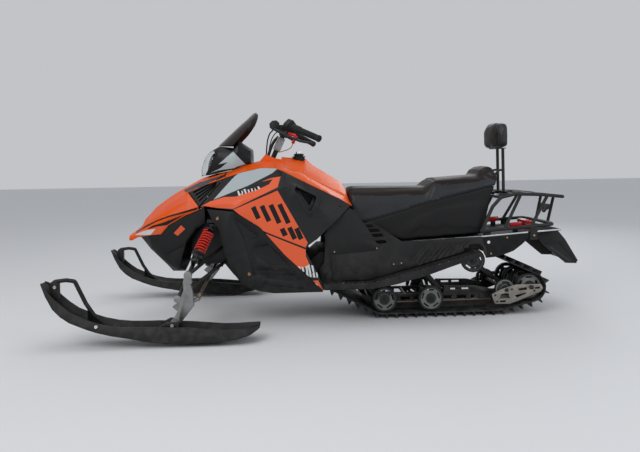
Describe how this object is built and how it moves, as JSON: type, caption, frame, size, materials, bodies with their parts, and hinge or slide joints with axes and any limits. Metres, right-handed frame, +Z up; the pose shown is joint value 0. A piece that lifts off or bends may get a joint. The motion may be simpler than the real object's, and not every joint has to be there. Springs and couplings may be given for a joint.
{
  "type": "snowmobile",
  "caption": "Trail snowmobile with steerable skis on double arms, orange front body, long stepped seat with backrest, rear rack and a rubber drive track.",
  "frame": {"origin": "on the ground, under the middle of the bounding box", "axes": "+X forward to the ski tips, +Y to the rider's left, +Z up"},
  "size_m": [2.608, 1.104, 1.073],
  "materials": {
    "orange": "gloss",
    "orange_panel": "satin",
    "black_plastic": "matte",
    "black_gloss": "gloss",
    "black_metal": "satin",
    "tunnel_metal": "satin",
    "aluminium": "satin",
    "spring_red": "gloss",
    "tie_zinc": "satin",
    "rubber": "matte",
    "seat_top": "satin",
    "seat_side": "matte",
    "wheel_grey": "satin",
    "screen": "gloss",
    "lens_clear": "gloss",
    "lamp_red": "gloss",
    "iron": "matte",
    "lanyard_red": "satin"
  },
  "bodies": {
    "chassis": {"track": "rubber", "track_wheels": "wheel_grey", "slide_rails": "black_metal", "axle_brackets": "aluminium", "rear_suspension": "black_metal", "drive_axle": "black_metal", "chain_case": "black_metal", "tunnel": "tunnel_metal", "running_boards": "black_plastic", "side_cover_left": "black_plastic", "side_cover_right": "black_plastic", "seat_cushion": "seat_top", "seat_base": "seat_side", "backrest_pad": "seat_top", "backrest_posts": "black_metal", "rear_rack": "black_metal", "hitch_plate": "black_metal", "snow_flap": "black_plastic", "tail_light": "lamp_red", "hood": "orange", "tank_cover": "orange", "louvre_grilles": "black_plastic", "side_panel_left": "black_plastic", "side_panel_right": "black_plastic", "belly_pan": "black_plastic", "nose_pan": "black_plastic", "headlight_pod": "black_gloss", "headlight_lens": "lens_clear", "windshield": "screen", "fuel_cap": "black_plastic", "engine_block": "iron", "bulkhead": "black_metal", "lower_arms": "black_metal", "upper_arms": "black_metal", "front_shocks": "black_metal", "front_springs": "spring_red"},
    "handlebar": {"steering_riser": "aluminium", "handlebar": "black_metal", "grips": "rubber", "brake_lever": "black_metal", "throttle_lever": "black_plastic", "control_cables": "rubber", "stop_lanyard": "lanyard_red"},
    "spindle_left": {"spindle_left": "aluminium"},
    "spindle_right": {"spindle_right": "aluminium"},
    "tie_rod_left": {"tie_rod_left": "tie_zinc"},
    "tie_rod_right": {"tie_rod_right": "tie_zinc"},
    "ski_left": {"ski_left": "black_plastic"},
    "ski_right": {"ski_right": "black_plastic"}
  },
  "joints": [
    {"name": "steering", "type": "hinge", "parent": "chassis", "child": "handlebar", "pos_m": [0.234, 0, 0.962], "axis": [-0.4191, 0, 0.908], "range_deg": [-36, 36]},
    {"name": "kingpin_left", "type": "hinge", "parent": "chassis", "child": "spindle_left", "pos_m": [0.672, 0.452, 0.301], "axis": [-0.4125, 0, 0.911], "range_deg": [-29, 29]},
    {"name": "tie_rod_end_left", "type": "hinge", "parent": "spindle_left", "child": "tie_rod_left", "pos_m": [0.627, 0.428, 0.2], "axis": [-0.4125, 0, 0.911], "range_deg": [-29, 29]},
    {"name": "ski_pivot_left", "type": "hinge", "parent": "spindle_left", "child": "ski_left", "pos_m": [0.733, 0.48, 0.09], "axis": [0, 1, 0], "range_deg": [-15, 10], "stiffness_Nm_per_rad": 30},
    {"name": "kingpin_right", "type": "hinge", "parent": "chassis", "child": "spindle_right", "pos_m": [0.672, -0.452, 0.301], "axis": [-0.4125, 0, 0.911], "range_deg": [-29, 29]},
    {"name": "tie_rod_end_right", "type": "hinge", "parent": "spindle_right", "child": "tie_rod_right", "pos_m": [0.627, -0.428, 0.2], "axis": [-0.4125, 0, 0.911], "range_deg": [-29, 29]},
    {"name": "ski_pivot_right", "type": "hinge", "parent": "spindle_right", "child": "ski_right", "pos_m": [0.733, -0.48, 0.09], "axis": [0, 1, 0], "range_deg": [-15, 10], "stiffness_Nm_per_rad": 30}
  ],
  "couplings": [
    {"joint": "kingpin_left", "follows": "steering", "ratio": 0.78},
    {"joint": "tie_rod_end_left", "follows": "steering", "ratio": -0.78},
    {"joint": "kingpin_right", "follows": "steering", "ratio": 0.78},
    {"joint": "tie_rod_end_right", "follows": "steering", "ratio": -0.78}
  ]
}
